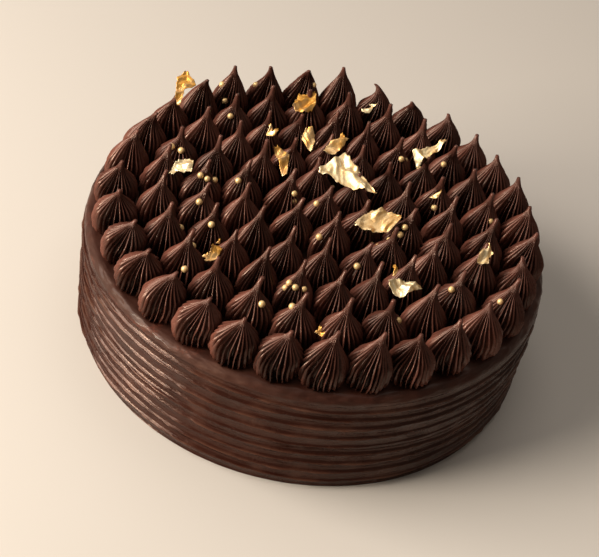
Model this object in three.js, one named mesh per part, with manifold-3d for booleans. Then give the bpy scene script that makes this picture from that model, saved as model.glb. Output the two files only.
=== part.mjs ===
// Round chocolate truffle cake: a comb-ridged ganache body under concentric rings of piped
// ganache kisses, with gold sugar pearls and gold leaf on top. Millimetres, +Z up, origin at
// the centre of the underside.

import * as THREE from 'three';
import { mergeVertices } from 'three/addons/utils/BufferGeometryUtils.js';
import Module from 'manifold-3d';

// ---- driving dimensions -------------------------------------------------------------------

// Body: an 8 inch round with its coat of ganache.
const bodyRadius = 103; // to the crests of the comb ridges
const bodyHeight = 54; // underside to the flat top
const bodySegments = 48;
const shoulderRadius = 4; // rounding between side and top
const footInset = 1.4; // the coat draws in where it meets the underside
const ridgeCount = 9;
const ridgePitch = 5.2; // distance between two comb ridges
const ridgeStart = 2.6; // height of the lowest groove
const ridgeDepth = 1.5;
const ridgeWave = 0.5; // how far a ridge wanders up and down
const ridgeWaves = 3; // waves of a ridge round the cake
const ridgeWaveStep = 0.4; // radians by which the wave shifts from level to level
const shoulderTurns = [0.2, 0.6, 1]; // levels of the rounding, as shares of a quarter turn

// Kisses: round piped drops with fins, an onion-shaped foot and a drawn-out tip.
const ringRadii = [90, 72.2, 54.4, 36.6, 17.6, 0]; // outer ring to the single kiss in the middle
const ringCounts = [31, 24, 21, 14, 6, 1];
const ringPhases = [-93.5, -91.4, -94.9, -83.1, -70.9, -70.9]; // degrees, a ring's first kiss
const ringMiddle = new THREE.Vector2(0, -1.2); // the rings lie a little off the middle
const kissesPerPiece = 4; // kisses of one ring that are joined where they touch
const kissHeight = 23.5;
const outerKissHeight = 21.6; // mean height in the outer ring, which rises and falls in waves
const outerWaves = [
  { rise: 2.8, count: 1, crest: 81 }, // tallest at this many degrees
  { rise: 2.2, count: 2, crest: -56 },
];
const kissHeightSpread = 1.8; // taller or shorter by up to this
const kissReach = 9.6; // from the middle of a kiss to a fin, towards the next ring
const innerReach = 9.1; // the same for the ring round the middle kiss
const kissSizeSpread = 0.5; // a small kiss reaches this much less
const kissOverlap = 1.2; // how far neighbours of a ring press into each other
const finCount = 6;
const finDepth = 0.16; // valley between two fins, as a share of the radius
const finTwist = 0.35; // radians from foot to tip
const outerLean = new THREE.Vector2(1.9, 3.2); // mean shift of the tips of the outer ring
const innerLean = new THREE.Vector2(2.4, 7.6); // the same further in
const leanSpread = 1.8;
// Every kiss has the same full body. What rises above it is a plain cone in the outer ring, and
// further in a dome that draws out to a thin tip.
const footShare = 0.82; // radius at the foot, as a share of the widest
const widestHeight = 7;
const shoulderHeight = 9.5;
const flankPart = 0.345; // part of the way up from the shoulder to the tip
const flankShares = [0.64, 0.54]; // radius there, in the outer ring and further in

// Gold sugar pearls: [x, y, number] of each loose group.
const pearlRadius = 1.55;
const pearlScatter = 6.5; // largest distance of a pearl from the middle of its group
const pearlStray = 0.6; // how far the pearls of a group leave an even circle, in their steps
const pearlSink = 0.5; // depth in the kiss, as a share of the radius
const pearlHeights = [10, 15.5]; // lowest and highest place on a kiss
const pearlForward = 3; // how far a pearl rolls towards -Y from where it fell
const pearlGroups = [
  [-52, 77, 4], [-50, 66, 3], [-15, 87, 2], [39, 88, 1], [-50, 41, 2], [-72, 21, 2],
  [41, 45, 4], [50, 15, 1], [-42, 6, 3], [-48, -8, 2], [-10, 0, 4], [-3, -19, 1],
  [30, -12, 4], [77, 7, 1], [-57, -24, 2], [-45, -41, 2], [18, -34, 1], [55, -43, 1],
  [71, -42, 2], [-8, -56, 4], [-10, -74, 2], [44, -64, 1], [-54, -56, 1],
];

// Gold leaf. Each torn scrap has a middle, a length, the heading of its length, and the angles
// by which it rises along and across. Along its length its outline is given at five stations:
// where the middle of the scrap is across, and half its width there.
const leafThickness = 0.6;
const acrossCells = 2; // cells across a scrap
const leafCurl = 0.05; // rise of both ends, as a share of the length
const leafRipple = 0.3; // height of the waves in a scrap
const leafRippleAlong = 4; // radians from the middle to an end
const leafRippleAcross = 2.5; // radians from the middle to a side
const leafSamples = 6; // places along each side of a cell where its height is tested
const sampleReach = 0.8; // how far round such a place a tip or a pearl still counts
const sampleStep = 0.02; // between the levels of a kiss that are tested under a leaf
const leaves = [
  {
    name: 'gold_leaf_1', at: [8.9, 14.6], length: 27.1, heading: -13, rise: 1, slope: 20,
    middle: [-3.3, 2.4, 0, -2.3, -4.5],
    half: [1.7, 7.3, 5.4, 3.2, 0.6],
  },
  {
    name: 'gold_leaf_2', at: [24.1, -7.9], length: 20.1, heading: 19, rise: 11, slope: 21,
    middle: [-0.3, -0.2, 0, -0.7, -0.4],
    half: [0.6, 4.3, 4.9, 4.8, 0.6],
  },
  {
    name: 'gold_leaf_3', at: [39.4, -46.6], length: 13.9, heading: 7, rise: 0, slope: 19,
    middle: [0.9, -0.2, 0, 0.9, 1.0],
    half: [1.1, 3.6, 3.5, 1.8, 0.6],
  },
  {
    name: 'gold_leaf_4', at: [41.3, 40.6], length: 18, heading: 56, rise: 21, slope: 8,
    middle: [-1.9, 1.9, 0, -1.5, -2.3],
    half: [0.6, 3.4, 2.4, 1.7, 0.6],
  },
  {
    name: 'gold_leaf_5', at: [-0.2, 36], length: 12.8, heading: 47, rise: 16, slope: 15,
    middle: [-0.2, -0.4, 0, 0.2, 1.2],
    half: [1.0, 2.7, 2.7, 2.3, 2.3],
  },
  {
    name: 'gold_leaf_6', at: [70.6, -20.6], length: 9.3, heading: 69, rise: 25, slope: 10,
    middle: [0.3, -0.8, 0, -0.5, 1.1],
    half: [0.6, 2.6, 2.2, 2.4, 0.6],
  },
  {
    name: 'gold_leaf_7', at: [-75.1, 47.2], length: 15.8, heading: 84, rise: 26, slope: 3,
    middle: [-2.3, -0.9, 0, -1.9, -0.1],
    half: [0.6, 1.9, 1.9, 4.6, 0.6],
  },
  {
    name: 'gold_leaf_8', at: [-18.5, 67.2], length: 12.9, heading: 44, rise: 19, slope: 20,
    middle: [-0.6, -0.7, 0, -0.6, 1.2],
    half: [1.3, 3.9, 4.8, 3.3, 0.6],
  },
  {
    name: 'gold_leaf_9', at: [-64.4, 0.8], length: 10.8, heading: 44, rise: 16, slope: 8,
    middle: [-0.2, -0.3, 0, -0.8, 0],
    half: [0.8, 2.2, 3.2, 3.7, 1.2],
  },
  {
    name: 'gold_leaf_10', at: [-12.5, 41.9], length: 9, heading: 110, rise: 27, slope: -10,
    middle: [-0.4, -0.1, 0, 0.1, -0.1],
    half: [0.6, 1.6, 2.6, 3.1, 1.5],
  },
  {
    name: 'gold_leaf_11', at: [-21.4, 19.5], length: 12.3, heading: 111, rise: 29, slope: -12,
    middle: [0.4, 0.2, 0, -0.1, 2.9],
    half: [1.0, 1.5, 2.3, 3.0, 0.7],
  },
  {
    name: 'gold_leaf_12', at: [-40.2, -47.3], length: 7.7, heading: 57, rise: 25, slope: 17,
    middle: [0.9, -0.1, 0, 0.7, -0.4],
    half: [0.6, 1.3, 1.9, 2.2, 0.6],
  },
];

const gap = 0.3; // between two pieces that touch
const fullTurn = 2 * Math.PI;
const degree = Math.PI / 180;
const finStep = fullTurn / finCount;

// ---- materials ----------------------------------------------------------------------------

function ganacheCoat() {
  return new THREE.MeshStandardMaterial({ color: 0x2e1a14, roughness: 0.42, metalness: 0 });
}

function pipedGanache() {
  return new THREE.MeshStandardMaterial({ color: 0x35201a, roughness: 0.4, metalness: 0 });
}

function goldLeaf() {
  return new THREE.MeshStandardMaterial({ color: 0xe8c36a, roughness: 0.3, metalness: 1 });
}

// ---- shapes -------------------------------------------------------------------------------

// A number from 0 to 1 that depends only on its three whole numbers.
function draw(group, item, channel) {
  let h = Math.imul(group + 11, 0x9e3779b1) ^ Math.imul(item + 37, 0x85ebca6b);
  h = Math.imul(h ^ (channel + 5) * 0xc2b2ae35, 0x27d4eb2f);
  h = Math.imul(h ^ (h >>> 15), 0x2c1b3c6d);
  h = Math.imul(h ^ (h >>> 12), 0x297a2d39);
  return ((h ^ (h >>> 15)) >>> 0) / 4294967296;
}

function spread(group, item, channel) {
  return 2 * draw(group, item, channel) - 1;
}

// Closed surface through rings of points, from the lowest ring to the highest, that ends in
// one point below and one point above.
function ringSurface(lowest, rings, highest) {
  const count = rings[0].length;
  const points = [lowest, ...rings.flat(), highest];
  const top = points.length - 1;
  const at = (ring, j) => 1 + ring * count + (j % count);
  const faces = [];
  for (let j = 0; j < count; j += 1) {
    faces.push(0, at(0, j + 1), at(0, j));
    faces.push(top, at(rings.length - 1, j), at(rings.length - 1, j + 1));
    for (let ring = 0; ring + 1 < rings.length; ring += 1) {
      faces.push(at(ring, j), at(ring, j + 1), at(ring + 1, j + 1));
      faces.push(at(ring, j), at(ring + 1, j + 1), at(ring + 1, j));
    }
  }
  return new THREE.BufferGeometry().setFromPoints(points).setIndex(faces);
}

// The body: a stack of rings whose radius goes in and out with the comb.
function bodyGeometry() {
  const levels = [[bodyRadius - footInset, 0]];
  for (let i = 0; i <= 2 * ridgeCount; i += 1) {
    const crest = i % 2 === 1;
    levels.push([bodyRadius - (crest ? 0 : ridgeDepth), ridgeStart + i * ridgePitch / 2]);
  }
  for (const turn of shoulderTurns) {
    const angle = turn * Math.PI / 2;
    const inward = shoulderRadius * (1 - Math.cos(angle));
    levels.push([bodyRadius - inward, bodyHeight - shoulderRadius * (1 - Math.sin(angle))]);
  }
  const rings = levels.map(([radius, z], level) => {
    const ring = [];
    const free = level > 0 && level <= 2 * ridgeCount + 1;
    for (let j = 0; j < bodySegments; j += 1) {
      const angle = fullTurn * j / bodySegments;
      const wave = free ? ridgeWave * Math.sin(ridgeWaves * angle + ridgeWaveStep * level) : 0;
      ring.push(new THREE.Vector3(radius * Math.cos(angle), radius * Math.sin(angle), z + wave));
    }
    return ring;
  });
  return ringSurface(new THREE.Vector3(0, 0, 0), rings, new THREE.Vector3(0, 0, bodyHeight));
}

// The outer rings are pieces of a few kisses each: which piece a kiss belongs to.
function pieceOf(ring, i) {
  const count = ringCounts[ring];
  if (count <= finCount) return 0;
  return Math.floor(((i + count) % count) * Math.round(count / kissesPerPiece) / count);
}

// Half width of a kiss towards the next one in its ring: pressed into it in the same piece,
// and just clear of it where a new piece starts.
function sideReach(ring, i, toward) {
  if (ringRadii[ring] === 0) return kissReach;
  const halfChord = ringRadii[ring] * Math.sin(Math.PI / ringCounts[ring]);
  const joined = pieceOf(ring, i) === pieceOf(ring, i + toward);
  return joined ? halfChord + kissOverlap / 2 : halfChord - gap;
}

// Mean height of the kisses of a ring at an angle.
function meanHeight(ring, angle) {
  if (ring > 0) return kissHeight;
  const waves = outerWaves.map(({ rise, count, crest }) => (
    rise * Math.cos(count * (angle - crest * degree))
  ));
  return waves.reduce((sum, wave) => sum + wave, outerKissHeight);
}

// Levels of a kiss as shares of its height, each with its share of the widest radius.
function kissProfile(ring, height) {
  const flank = shoulderHeight + flankPart * (height - shoulderHeight);
  return [
    [0, footShare],
    [widestHeight / height, 1],
    [flank / height, flankShares[Math.min(ring, 1)]],
  ];
}

// The place, size, height and lean of every kiss, ring by ring.
function kissPlan() {
  return ringRadii.map((ringRadius, ring) => {
    const kisses = [];
    for (let i = 0; i < ringCounts[ring]; i += 1) {
      const small = kissSizeSpread * draw(ring, i, 0);
      const side = draw(ring, i, 1) < 0.5 ? -1 : 1;
      const angle = ringPhases[ring] * degree + fullTurn * i / ringCounts[ring];
      const radius = ringRadius > 0 ? ringRadius + side * small : 0;
      const inner = ringCounts[ring] === finCount;
      const height = meanHeight(ring, angle) + kissHeightSpread * spread(ring, i, 2);
      const lean = ring === 0 ? outerLean : innerLean;
      kisses.push({
        angle,
        centre: new THREE.Vector2(radius * Math.cos(angle), radius * Math.sin(angle))
          .add(ringMiddle),
        reach: (inner ? innerReach : kissReach) - small,
        profile: kissProfile(ring, height),
        halfWidth: [-1, 1].map((toward) => sideReach(ring, i, toward)),
        finTurn: ringCounts[ring] > finCount ? finStep / 2 : 0,
        height,
        lean: new THREE.Vector2(
          lean.x + leanSpread * spread(ring, i, 3),
          lean.y + leanSpread * spread(ring, i, 4),
        ),
      });
    }
    return kisses;
  });
}

// Point on a kiss at a share of its height and radius, at an angle from its outward side.
function kissPoint(kiss, level, share, angle) {
  const across = kiss.halfWidth[Math.sin(angle) < 0 ? 0 : 1] * share * Math.sin(angle);
  const out = kiss.reach * share * Math.cos(angle);
  const bend = level * level;
  return new THREE.Vector3(
    kiss.centre.x + out * Math.cos(kiss.angle) - across * Math.sin(kiss.angle) + bend * kiss.lean.x,
    kiss.centre.y + out * Math.sin(kiss.angle) + across * Math.cos(kiss.angle) + bend * kiss.lean.y,
    bodyHeight + gap + level * kiss.height,
  );
}

// Angle of the first fin of a kiss: the fins turn above its widest level.
function finAngle(kiss, level) {
  return kiss.finTurn + finTwist * Math.max(0, level - widestHeight / kiss.height);
}

// One kiss: fins in and out round it, two of them towards the neighbours in its ring.
function kissGeometry(kiss) {
  const points = 2 * finCount;
  const rings = kiss.profile.map(([level, share]) => {
    const start = finAngle(kiss, level);
    const ring = [];
    for (let j = 0; j < points; j += 1) {
      const fin = j % 2 === 0 ? 1 : 1 - finDepth;
      ring.push(kissPoint(kiss, level, share * fin, start + fullTurn * j / points));
    }
    return ring;
  });
  return ringSurface(kissPoint(kiss, 0, 0, 0), rings, kissPoint(kiss, 1, 0, 0));
}

// Radius of a kiss at a level, as a share of its widest.
function profileShare(kiss, level) {
  const ends = [...kiss.profile, [1, 0]];
  const i = Math.max(1, ends.findIndex(([upper]) => upper >= level));
  const [low, lowShare] = ends[i - 1];
  const [high, highShare] = ends[i];
  return lowShare + (highShare - lowShare) * (level - low) / (high - low);
}

// Every pearl lies between two fins of the kiss that is nearest to where it fell.
function pearlPlan(rings) {
  const kisses = rings.flat();
  const pearls = [];
  pearlGroups.forEach(([x, y, count], group) => {
    for (let i = 0; i < count; i += 1) {
      const away = count > 1 ? pearlScatter * Math.sqrt(draw(group, i, 7)) : 0;
      const turn = fullTurn * (i + pearlStray * draw(group, i, 8)) / count;
      const place = new THREE.Vector2(x + away * Math.cos(turn), y + away * Math.sin(turn));
      const distances = kisses.map((kiss) => kiss.centre.distanceTo(place));
      const kiss = kisses[distances.indexOf(Math.min(...distances))];
      const [lowest, highest] = pearlHeights;
      const level = (lowest + (highest - lowest) * draw(group, i, 9)) / kiss.height;
      const proud = (1 - pearlSink) * pearlRadius / kissReach;
      const share = profileShare(kiss, level) * (1 - finDepth) + proud;
      const start = finAngle(kiss, level) + finStep / 2;
      place.sub(kiss.centre).y -= pearlForward;
      const side = place.angle() - kiss.angle - start;
      const valley = start + finStep * Math.round(side / finStep);
      pearls.push({ kiss, centre: kissPoint(kiss, level, share, valley) });
    }
  });
  return pearls;
}

// Height of the topping above a place: of the highest level at which a kiss reaches it, or of
// a pearl.
function toppingHeight(kisses, pearls, x, y) {
  let highest = bodyHeight;
  const near = (kiss) => Math.hypot(kiss.centre.x - x, kiss.centre.y - y) < 2 * kissReach;
  for (const kiss of kisses.filter(near)) {
    for (let level = 1; level > 0; level -= sampleStep) {
      const bend = level * level;
      const dx = x - kiss.centre.x - bend * kiss.lean.x;
      const dy = y - kiss.centre.y - bend * kiss.lean.y;
      if (Math.hypot(dx, dy) < kissReach * profileShare(kiss, level) + sampleReach) {
        highest = Math.max(highest, bodyHeight + gap + level * kiss.height);
        break;
      }
    }
  }
  for (const { centre } of pearls) {
    if (Math.hypot(centre.x - x, centre.y - y) < pearlRadius + sampleReach) {
      highest = Math.max(highest, centre.z + pearlRadius);
    }
  }
  return highest;
}

// Underside of a leaf of gold at one of its stations, at v from -1 on one side to 1 on the other.
function leafPoint(leaf, station, v) {
  const u = 2 * station / (leaf.half.length - 1) - 1;
  const along = leaf.length / 2 * u;
  const across = leaf.middle[station] + leaf.half[station] * v;
  const heading = leaf.heading * degree;
  const tilted = Math.tan(leaf.rise * degree) * along + Math.tan(leaf.slope * degree) * across;
  const curl = leafCurl * leaf.length * u * u;
  const ripple = leafRipple * Math.sin(leafRippleAlong * u + leafRippleAcross * v);
  return new THREE.Vector3(
    leaf.at[0] + along * Math.cos(heading) - across * Math.sin(heading),
    leaf.at[1] + along * Math.sin(heading) + across * Math.cos(heading),
    tilted + curl + ripple,
  );
}

// How far a leaf is lifted so that every part of each cell is above what lies under it.
function leafLift(corners, kisses, pearls) {
  const row = leafSamples + 1;
  let lift = 0;
  for (let i = 0; i + 1 < corners.length; i += 1) {
    for (let j = 0; j + 1 < corners[i].length; j += 1) {
      for (let k = 0; k < row * row; k += 1) {
        const along = (k % row) / leafSamples;
        const across = Math.floor(k / row) / leafSamples;
        const low = corners[i][j].clone().lerp(corners[i + 1][j], along);
        const high = corners[i][j + 1].clone().lerp(corners[i + 1][j + 1], along);
        const point = low.lerp(high, across);
        lift = Math.max(lift, toppingHeight(kisses, pearls, point.x, point.y) - point.z);
      }
    }
  }
  return lift + gap;
}

// A leaf lies on the highest kisses under it. Both faces are split into triangles alike.
function leafGeometry(leaf, kisses, pearls) {
  const alongCells = leaf.half.length - 1;
  const side = acrossCells + 1;
  const sheet = (alongCells + 1) * side;
  const corners = [];
  for (let i = 0; i <= alongCells; i += 1) {
    corners.push([]);
    for (let j = 0; j <= acrossCells; j += 1) {
      corners[i].push(leafPoint(leaf, i, 2 * j / acrossCells - 1));
    }
  }
  const lift = leafLift(corners, kisses, pearls);
  const lower = corners.flat().map(({ x, y, z }) => new THREE.Vector3(x, y, z + lift));
  const upper = lower.map(({ x, y, z }) => new THREE.Vector3(x, y, z + leafThickness));
  const at = (face, i, j) => face * sheet + i * side + j;
  const faces = [];
  for (let i = 0; i < alongCells; i += 1) {
    for (let j = 0; j < acrossCells; j += 1) {
      faces.push(at(1, i, j), at(1, i + 1, j), at(1, i + 1, j + 1));
      faces.push(at(1, i, j), at(1, i + 1, j + 1), at(1, i, j + 1));
      faces.push(at(0, i, j), at(0, i + 1, j + 1), at(0, i + 1, j));
      faces.push(at(0, i, j), at(0, i, j + 1), at(0, i + 1, j + 1));
    }
  }
  const along = [...Array(alongCells).keys()];
  const across = [...Array(acrossCells).keys()];
  const rim = [
    ...along.map((i) => [i, 0]),
    ...across.map((j) => [alongCells, j]),
    ...along.map((i) => [alongCells - i, acrossCells]),
    ...across.map((j) => [0, acrossCells - j]),
  ];
  rim.forEach(([i, j], k) => {
    const [nextI, nextJ] = rim[(k + 1) % rim.length];
    faces.push(at(0, i, j), at(0, nextI, nextJ), at(1, nextI, nextJ));
    faces.push(at(0, i, j), at(1, nextI, nextJ), at(1, i, j));
  });
  return new THREE.BufferGeometry().setFromPoints([...lower, ...upper]).setIndex(faces);
}

// ---- joining and cutting ------------------------------------------------------------------

const wasm = await Module();
wasm.setup();

function toSolid(geometry) {
  const bare = geometry.clone();
  bare.deleteAttribute('normal');
  bare.deleteAttribute('uv');
  const merged = mergeVertices(bare);
  return new wasm.Manifold(new wasm.Mesh({
    numProp: 3,
    vertProperties: new Float32Array(merged.attributes.position.array),
    triVerts: new Uint32Array(merged.index.array),
  }));
}

function toGeometry(solid) {
  const mesh = solid.getMesh();
  const geometry = new THREE.BufferGeometry();
  geometry.setAttribute('position', new THREE.BufferAttribute(mesh.vertProperties, 3));
  geometry.setIndex(new THREE.BufferAttribute(mesh.triVerts, 1));
  return geometry;
}

// Neighbouring kisses as one solid, with the pearls that lie on them.
function joinKisses(kisses, pearls) {
  const solids = kisses.map((kiss) => toSolid(kissGeometry(kiss)));
  for (const pearl of pearls.filter(({ kiss }) => kisses.includes(kiss))) {
    const ball = new THREE.IcosahedronGeometry(pearlRadius, 0);
    solids.push(toSolid(ball.translate(...pearl.centre.toArray())));
  }
  return solids.reduce((whole, solid) => whole.add(solid));
}

// ---- the cake -----------------------------------------------------------------------------

const cake = new THREE.Group();

function addPiece(name, geometry, material) {
  const mesh = new THREE.Mesh(geometry.toNonIndexed(), material);
  mesh.geometry.computeVertexNormals();
  mesh.name = name;
  cake.add(mesh);
}

addPiece('cake_body', bodyGeometry(), ganacheCoat());

const rings = kissPlan();
const pearls = pearlPlan(rings);

rings.slice(0, -2).forEach((kisses, ring) => {
  const pieces = 1 + pieceOf(ring, kisses.length - 1);
  for (let piece = 0; piece < pieces; piece += 1) {
    const members = kisses.filter((kiss, i) => pieceOf(ring, i) === piece);
    const solid = joinKisses(members, pearls);
    addPiece(`kisses_ring_${ring + 1}_${piece + 1}`, toGeometry(solid), pipedGanache());
  }
});

// The innermost ring and the kiss in the middle are one rosette.
const rosette = joinKisses(rings.slice(-2).flat(), pearls);
addPiece('kisses_middle', toGeometry(rosette), pipedGanache());

for (const leaf of leaves) {
  addPiece(leaf.name, leafGeometry(leaf, rings.flat(), pearls), goldLeaf());
}

export default cake;
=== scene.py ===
"""Chocolate truffle cake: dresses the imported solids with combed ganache, finely piped kisses,
gold sugar pearls and crumpled gold leaf.

The plan of the cake (where each kiss, pearl and leaf lies) repeats the rules of the solids, in
millimetres. Meshes are in metres, in the frame of the solids.
"""

import math

import bpy
import numpy as np
from bpy.props import FloatProperty, FloatVectorProperty, IntProperty, PointerProperty
from mathutils import Matrix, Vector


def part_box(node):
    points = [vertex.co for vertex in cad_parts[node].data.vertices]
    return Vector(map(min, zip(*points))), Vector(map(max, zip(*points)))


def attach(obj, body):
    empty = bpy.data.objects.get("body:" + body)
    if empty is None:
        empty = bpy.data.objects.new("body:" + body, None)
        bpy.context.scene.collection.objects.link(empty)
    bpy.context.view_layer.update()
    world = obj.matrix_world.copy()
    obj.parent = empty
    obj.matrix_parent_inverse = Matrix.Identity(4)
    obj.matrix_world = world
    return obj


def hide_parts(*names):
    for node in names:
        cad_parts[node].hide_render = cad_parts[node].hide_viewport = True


bl_info = {
    "name": "Chocolate Truffle Cake",
    "version": (1, 0, 0),
    "blender": (4, 5, 0),
    "location": "3D View > Sidebar > Cake",
    "description": "Combed ganache cake with rings of piped kisses, sugar pearls and gold leaf",
    "category": "Object",
}

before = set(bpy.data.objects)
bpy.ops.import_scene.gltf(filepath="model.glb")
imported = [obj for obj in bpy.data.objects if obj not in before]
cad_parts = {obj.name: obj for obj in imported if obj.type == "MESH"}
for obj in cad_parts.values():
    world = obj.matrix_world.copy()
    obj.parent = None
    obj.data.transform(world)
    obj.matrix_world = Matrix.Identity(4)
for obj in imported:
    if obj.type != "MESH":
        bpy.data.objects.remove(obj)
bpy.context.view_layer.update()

MM = 0.001
TURN = 2 * math.pi

# Places shared with the solids, in millimetres and degrees.
BODY_RADIUS = 103.0
BODY_HEIGHT = 54.0
SHOULDER = 4.0
FOOT_INSET = 1.4
RING_RADII = (90.0, 72.2, 54.4, 36.6, 17.6, 0.0)
RING_COUNTS = (31, 24, 21, 14, 6, 1)
RING_PHASES = (-93.5, -91.4, -94.9, -83.1, -70.9, -70.9)
RING_MIDDLE = (0.0, -1.2)
KISSES_PER_PIECE = 4
KISS_HEIGHT = 23.5
OUTER_KISS_HEIGHT = 21.6
OUTER_WAVES = ((2.8, 1, 81), (2.2, 2, -56))
KISS_HEIGHT_SPREAD = 1.8
KISS_SIZE_SPREAD = 0.5
OUTER_LEAN = (1.9, 3.2)
INNER_LEAN = (2.4, 7.6)
LEAN_SPREAD = 1.8
WIDEST_HEIGHT = 7.0
SHOULDER_HEIGHT = 9.5
GAP = 0.3
SOLID_FINS = 6
SOLID_TWIST = 0.35

# How the kisses differ from those of the solids. Of a pair, the first is for the outer ring and
# the second for the others. Turns and headings are in degrees, and levels are shares of a height.
SMALL_SHARE = 0.6
FOOT_SINK = 0.4
DRAWN_OUT = (0.15, 0.7)
DRAWN_OUT_SPREAD = 0.35
LEAN_SHARE = (1.0, 0.55)
HOOK_LEVEL = 0.64
HOOK_DROP = 0.45
HOOK_SWAY = 0.8
OUTER_HOOK_TURN = 125
INNER_HOOK_HEADINGS = (40, 230)
INNER_HOOK_SHARE = 0.3
HOOK_BACK_FROM = 15
TIP_LEVEL = 0.58

# The coat: bands of the comb and where the rows of points lie in one, then insets and sizes, and
# where the side is most smeared.
COMB_BANDS = 9
BAND_ROWS = (0, 0.035, 0.08, 0.14, 0.22, 0.32, 0.43, 0.54, 0.65, 0.75, 0.84, 0.91, 0.96)
LAST_BAND_ROWS = (0, 0.035, 0.08, 0.16, 0.28, 0.42, 0.56)
SIDE_INSET = 0.35
RIM_INSET = 0.5
TOP_SINK = 0.15
FOOT_ROUND = 2.6
BURR_WIDTH = 0.26
SMEAR_HEADING = -138

# Pearls: how far they scatter in their group, how high they lie up a kiss, how far they come to
# its front, and how far their centres stand off it. A group is its x, its y and its pearls.
PEARL_SCATTER = 6.5
PEARL_HEIGHTS = (10.0, 15.5)
PEARL_FORWARD = 3
PEARL_LIFT = 0.85
PEARL_GROUPS = (
    (-52, 77, 4), (-50, 66, 3), (-15, 87, 2), (39, 88, 1), (-50, 41, 2), (-72, 21, 2),
    (41, 45, 4), (50, 15, 1), (-42, 6, 3), (-48, -8, 2), (-10, 0, 4), (-3, -19, 1),
    (30, -12, 4), (77, 7, 1), (-57, -24, 2), (-45, -41, 2), (18, -34, 1), (55, -43, 1),
    (71, -42, 2), (-8, -56, 4), (-10, -74, 2), (44, -64, 1), (-54, -56, 1),
)

# Gold leaf: node, x, y, length, heading, rise along it and slope across it. Then, at five stations
# along its length, where its middle is and half its width. Last, how pale it is.
LEAVES = (
    ("gold_leaf_1", 8.9, 14.6, 27.1, -13, 1, 20,
     (-3.3, 2.4, 0.0, -2.3, -4.5), (1.7, 7.3, 5.4, 3.2, 0.6), 0.75),
    ("gold_leaf_2", 24.1, -7.9, 20.1, 19, 11, 21,
     (-0.3, -0.2, 0.0, -0.7, -0.4), (0.6, 4.3, 4.9, 4.8, 0.6), 0.5),
    ("gold_leaf_3", 39.4, -46.6, 13.9, 7, 0, 19,
     (0.9, -0.2, 0.0, 0.9, 1.0), (1.1, 3.6, 3.5, 1.8, 0.6), 0.9),
    ("gold_leaf_4", 41.3, 40.6, 18, 56, 21, 8,
     (-1.9, 1.9, 0.0, -1.5, -2.3), (0.6, 3.4, 2.4, 1.7, 0.6), 0.7),
    ("gold_leaf_5", -0.2, 36, 12.8, 47, 16, 15,
     (-0.2, -0.4, 0.0, 0.2, 1.2), (1.0, 2.7, 2.7, 2.3, 2.3), 0.4),
    ("gold_leaf_6", 70.6, -20.6, 9.3, 69, 25, 10,
     (0.3, -0.8, 0.0, -0.5, 1.1), (0.6, 2.6, 2.2, 2.4, 0.6), 0.6),
    ("gold_leaf_7", -75.1, 47.2, 15.8, 84, 26, 3,
     (-2.3, -0.9, 0.0, -1.9, -0.1), (0.6, 1.9, 1.9, 4.6, 0.6), 0.1),
    ("gold_leaf_8", -18.5, 67.2, 12.9, 44, 19, 20,
     (-0.6, -0.7, 0.0, -0.6, 1.2), (1.3, 3.9, 4.8, 3.3, 0.6), 0.0),
    ("gold_leaf_9", -64.4, 0.8, 10.8, 44, 16, 8,
     (-0.2, -0.3, 0.0, -0.8, 0.0), (0.8, 2.2, 3.2, 3.7, 1.2), 1.0),
    ("gold_leaf_10", -12.5, 41.9, 9, 110, 27, -10,
     (-0.4, -0.1, 0.0, 0.1, -0.1), (0.6, 1.6, 2.6, 3.1, 1.5), 0.4),
    ("gold_leaf_11", -21.4, 19.5, 12.3, 111, 29, -12,
     (0.4, 0.2, 0.0, -0.1, 2.9), (1.0, 1.5, 2.3, 3.0, 0.7), 0.3),
    ("gold_leaf_12", -40.2, -47.3, 7.7, 57, 25, 17,
     (0.9, -0.1, 0.0, 0.7, -0.4), (0.6, 1.3, 1.9, 2.2, 0.6), 0.15),
)
# Crumbs of gold: x, y, height, length, heading and how pale.
CRUMBS = (
    (11.3, 70.5, 73.5, 5.6, 30, 0.9), (13.2, 73.8, 74.5, 3.6, -10, 0.9),
    (-29.4, 35.4, 74.0, 5.2, 15, 0.2), (-30.8, 37.6, 74.6, 3.4, 95, 0.3),
    (47.6, 14.8, 74.5, 4.8, 20, 0.5), (8.2, -86.0, 74.2, 3.2, 65, 0.1),
    (9.4, -86.8, 73.6, 2.4, 10, 0.1), (-42.6, -55.4, 73.0, 2.4, 40, 0.2),
    (34.2, -43.2, 76.5, 4.6, 100, 0.2), (-38.9, -47.6, 75.0, 2.2, 70, 0.2),
)
CRUMB_RISE = 0.5
CRUMB_SLOPE = 0.35

# The camera, fitted to the rims of the cake: angles in radians, lengths in radii of its body.
CAMERA_TILT = 0.7217
CAMERA_ROLL = 0.2122
CAMERA_TARGET = (-0.0346, 0.2545, 0)
CAMERA_DISTANCE = 6.5756
LIGHT_TARGET = (0, 0, 0.03)


# ---- seeded numbers -------------------------------------------------------------------------


def times32(a, b):
    """Product of two whole numbers, kept to its lowest 32 bits."""
    return (a * b) & 0xFFFFFFFF


def draw(group, item, channel):
    """A number from 0 to 1 that depends only on its three whole numbers, as in the solids."""
    h = times32(group + 11, 0x9E3779B1) ^ times32(item + 37, 0x85EBCA6B)
    h = times32(h ^ times32(channel + 5, 0xC2B2AE35), 0x27D4EB2F)
    h = times32(h ^ (h >> 15), 0x2C1B3C6D)
    h = times32(h ^ (h >> 12), 0x297A2D39)
    return (h ^ (h >> 15)) / 4294967296


def spread(group, item, channel):
    """The same number, from -1 to 1."""
    return 2 * draw(group, item, channel) - 1


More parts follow.
